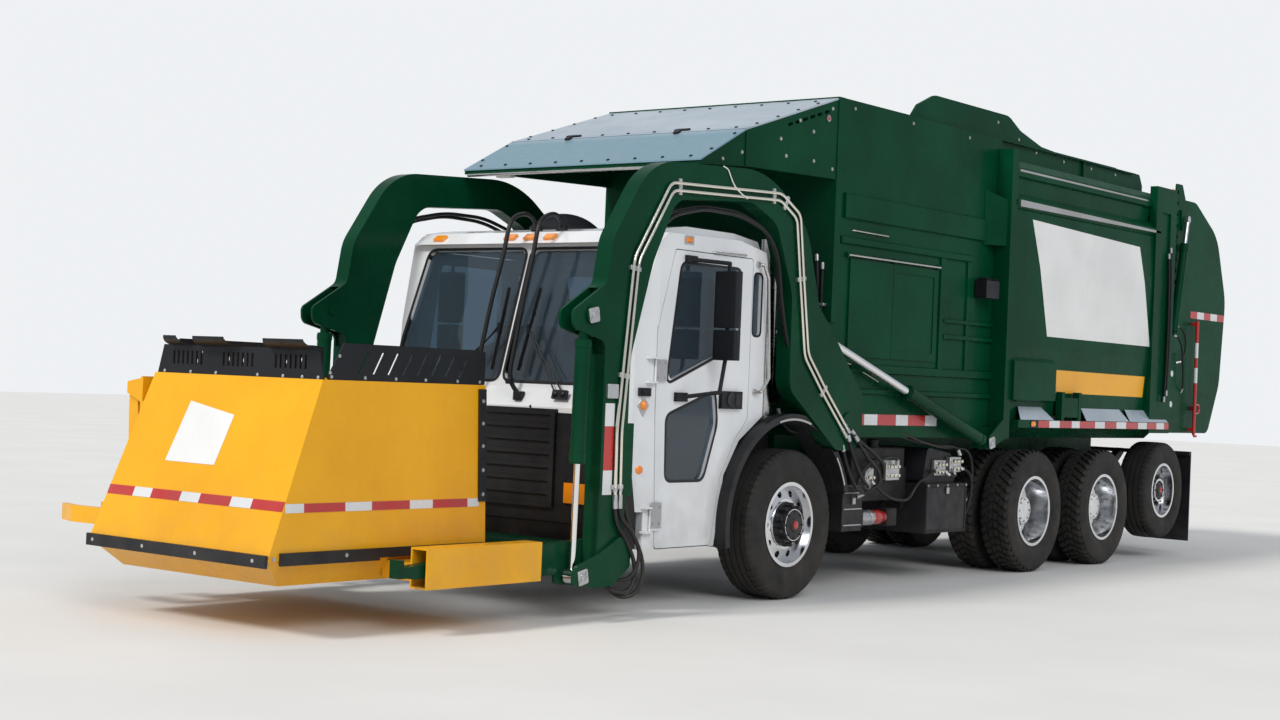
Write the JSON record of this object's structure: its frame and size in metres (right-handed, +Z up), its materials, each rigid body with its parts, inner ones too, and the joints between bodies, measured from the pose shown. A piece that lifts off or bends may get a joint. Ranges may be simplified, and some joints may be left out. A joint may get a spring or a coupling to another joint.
{
  "type": "garbage truck",
  "caption": "Front-loading refuse truck with lift arms over a low cab, a carry can on its forks, a covered hopper, a packer body and a lifting tailgate.",
  "frame": {"origin": "on the ground, under the middle of the whole length and on the centreline", "axes": "+Y from the can towards the tailgate, +X to the left side as the driver sees it with the front towards -Y, +Z up"},
  "size_m": [2.75, 12.4803, 3.87],
  "materials": {
    "green": "gloss",
    "white": "gloss",
    "yellow": "gloss",
    "chassis_black": "satin",
    "black_plastic": "matte",
    "tyre": "matte",
    "alloy": "polished",
    "chrome": "polished",
    "stainless": "polished",
    "pale_sheet": "satin",
    "glass": "clear",
    "lamp": "gloss"
  },
  "bodies": {
    "chassis": {"chassis_frame": "chassis_black", "engine_block": "chassis_black", "front_axle": "chassis_black", "rear_axles": "chassis_black", "side_boxes": "chassis_black", "exhaust_stack": "stainless", "cab_shell": "white", "cab_glass": "glass", "grille": "black_plastic", "cab_lamps": "lamp", "cab_interior": "black_plastic", "mudguards": "black_plastic", "load_body": "green", "canopy_sides": "green", "canopy_sheet": "pale_sheet", "roof_guard": "green", "side_shelves": "green", "roof_dome": "black_plastic", "grab_rails": "stainless"},
    "knuckle_l": {"knuckle_left": "chassis_black"},
    "knuckle_r": {"knuckle_right": "chassis_black"},
    "arms": {"lift_arms": "green"},
    "arm_barrels": {"arm_barrels": "green"},
    "arm_rods": {"arm_rods": "chrome"},
    "forks": {"forks": "green", "can": "yellow", "can_trim": "black_plastic"},
    "fork_barrels": {"fork_barrels": "green"},
    "fork_rods": {"fork_rods": "chrome"},
    "cart_slide": {"cart_slide": "yellow"},
    "cart_lift": {"cart_lift": "yellow"},
    "top_door": {"top_door": "green"},
    "packer": {"packer_panel": "green"},
    "tailgate": {"tailgate": "green"},
    "tailgate_barrels": {"tailgate_barrels": "green"},
    "tailgate_rods": {"tailgate_rods": "chrome"},
    "front_wheel_l": {"front_tyre_left": "tyre", "front_rim_left": "alloy"},
    "tag_wheel_l": {"tag_tyre_left": "tyre", "tag_rim_left": "alloy"},
    "drive_one_l": {"drive_one_tyres_left": "tyre", "drive_one_rims_left": "alloy"},
    "drive_two_l": {"drive_two_tyres_left": "tyre", "drive_two_rims_left": "alloy"},
    "door_l": {"door_left": "white", "door_glass_left": "glass", "door_fittings_left": "black_plastic"},
    "front_wheel_r": {"front_tyre_right": "tyre", "front_rim_right": "alloy"},
    "tag_wheel_r": {"tag_tyre_right": "tyre", "tag_rim_right": "alloy"},
    "drive_one_r": {"drive_one_tyres_right": "tyre", "drive_one_rims_right": "alloy"},
    "drive_two_r": {"drive_two_tyres_right": "tyre", "drive_two_rims_right": "alloy"},
    "door_r": {"door_right": "white", "door_glass_right": "glass", "door_fittings_right": "black_plastic"}
  },
  "joints": [
    {"name": "steer_left", "type": "hinge", "parent": "chassis", "child": "knuckle_l", "pos_m": [0.88, -1.8002, 0.528], "axis": [0, 0, 1], "range_deg": [-35, 35]},
    {"name": "steer_right", "type": "hinge", "parent": "chassis", "child": "knuckle_r", "pos_m": [-0.88, -1.8002, 0.528], "axis": [0, 0, 1], "range_deg": [-35, 35]},
    {"name": "front_wheel_left", "type": "hinge", "parent": "knuckle_l", "child": "front_wheel_l", "pos_m": [1.065, -1.8002, 0.528], "axis": [1, 0, 0], "continuous": true},
    {"name": "drive_one_left", "type": "hinge", "parent": "chassis", "child": "drive_one_l", "pos_m": [0.917, 1.9428, 0.522], "axis": [1, 0, 0], "continuous": true},
    {"name": "drive_two_left", "type": "hinge", "parent": "chassis", "child": "drive_two_l", "pos_m": [0.917, 3.3158, 0.522], "axis": [1, 0, 0], "continuous": true},
    {"name": "tag_wheel_left", "type": "hinge", "parent": "chassis", "child": "tag_wheel_l", "pos_m": [1.07, 4.6338, 0.648], "axis": [1, 0, 0], "continuous": true},
    {"name": "door_left", "type": "hinge", "parent": "chassis", "child": "door_l", "pos_m": [1.128, -3.3102, 1], "axis": [0, 0, -1], "range_deg": [0, 75]},
    {"name": "front_wheel_right", "type": "hinge", "parent": "knuckle_r", "child": "front_wheel_r", "pos_m": [-1.065, -1.8002, 0.528], "axis": [1, 0, 0], "continuous": true},
    {"name": "drive_one_right", "type": "hinge", "parent": "chassis", "child": "drive_one_r", "pos_m": [-0.917, 1.9428, 0.522], "axis": [1, 0, 0], "continuous": true},
    {"name": "drive_two_right", "type": "hinge", "parent": "chassis", "child": "drive_two_r", "pos_m": [-0.917, 3.3158, 0.522], "axis": [1, 0, 0], "continuous": true},
    {"name": "tag_wheel_right", "type": "hinge", "parent": "chassis", "child": "tag_wheel_r", "pos_m": [-1.07, 4.6338, 0.648], "axis": [1, 0, 0], "continuous": true},
    {"name": "door_right", "type": "hinge", "parent": "chassis", "child": "door_r", "pos_m": [-1.128, -3.3102, 1], "axis": [0, 0, 1], "range_deg": [0, 75]},
    {"name": "arms", "type": "hinge", "parent": "chassis", "child": "arms", "pos_m": [0, -1.1002, 1.22], "axis": [-1, 0, 0], "range_deg": [0, 100]},
    {"name": "arm_barrels", "type": "hinge", "parent": "chassis", "child": "arm_barrels", "pos_m": [0, 1.0998, 1.106], "axis": [1, 0, 0], "range_deg": [-1, 4.31]},
    {"name": "arm_rods", "type": "slide", "parent": "arm_barrels", "child": "arm_rods", "axis": [0, -0.9568, 0.2906], "range_m": [-1.1663, 0.01]},
    {"name": "forks", "type": "hinge", "parent": "arms", "child": "forks", "pos_m": [0, -3.7452, 0.4], "axis": [-1, 0, 0], "range_deg": [-5, 38]},
    {"name": "fork_barrels", "type": "hinge", "parent": "arms", "child": "fork_barrels", "pos_m": [0, -4.0902, 1.887], "axis": [1, 0, 0], "range_deg": [-1.02, 1.15]},
    {"name": "fork_rods", "type": "slide", "parent": "fork_barrels", "child": "fork_rods", "axis": [0, -0.0137, -0.9999], "range_m": [-0.2604, 0.0429]},
    {"name": "tailgate", "type": "hinge", "parent": "chassis", "child": "tailgate", "pos_m": [0, 4.7598, 3.56], "axis": [1, 0, 0], "range_deg": [0, 80]},
    {"name": "tailgate_barrels", "type": "hinge", "parent": "chassis", "child": "tailgate_barrels", "pos_m": [0, 4.7898, 2.05], "axis": [1, 0, 0], "range_deg": [-1, 4.21]},
    {"name": "tailgate_rods", "type": "slide", "parent": "tailgate_barrels", "child": "tailgate_rods", "axis": [0, 0.2111, 0.9775], "range_m": [-0.01, 0.5133]},
    {"name": "top_door", "type": "slide", "parent": "chassis", "child": "top_door", "axis": [0, 1, 0], "range_m": [-2.4, 0]},
    {"name": "packer", "type": "slide", "parent": "chassis", "child": "packer", "axis": [0, 1, 0], "range_m": [0, 4.9]},
    {"name": "cart_slide", "type": "slide", "parent": "forks", "child": "cart_slide", "axis": [-1, 0, 0], "range_m": [0, 0.6]},
    {"name": "cart_lift", "type": "hinge", "parent": "cart_slide", "child": "cart_lift", "pos_m": [-0.985, -5.7602, 1.33], "axis": [0, 1, 0], "range_deg": [0, 130]}
  ],
  "couplings": [
    {"joint": "steer_right", "follows": "steer_left", "ratio": 1},
    {"joint": "arm_barrels", "follows": "arms", "ratio": 0.033115},
    {"joint": "arm_rods", "follows": "arms", "m_per_rad": -0.66253},
    {"joint": "fork_barrels", "follows": "forks", "ratio": 0.003972},
    {"joint": "fork_rods", "follows": "forks", "m_per_rad": -0.37754},
    {"joint": "tailgate_barrels", "follows": "tailgate", "ratio": 0.040119},
    {"joint": "tailgate_rods", "follows": "tailgate", "m_per_rad": 0.36047}
  ]
}
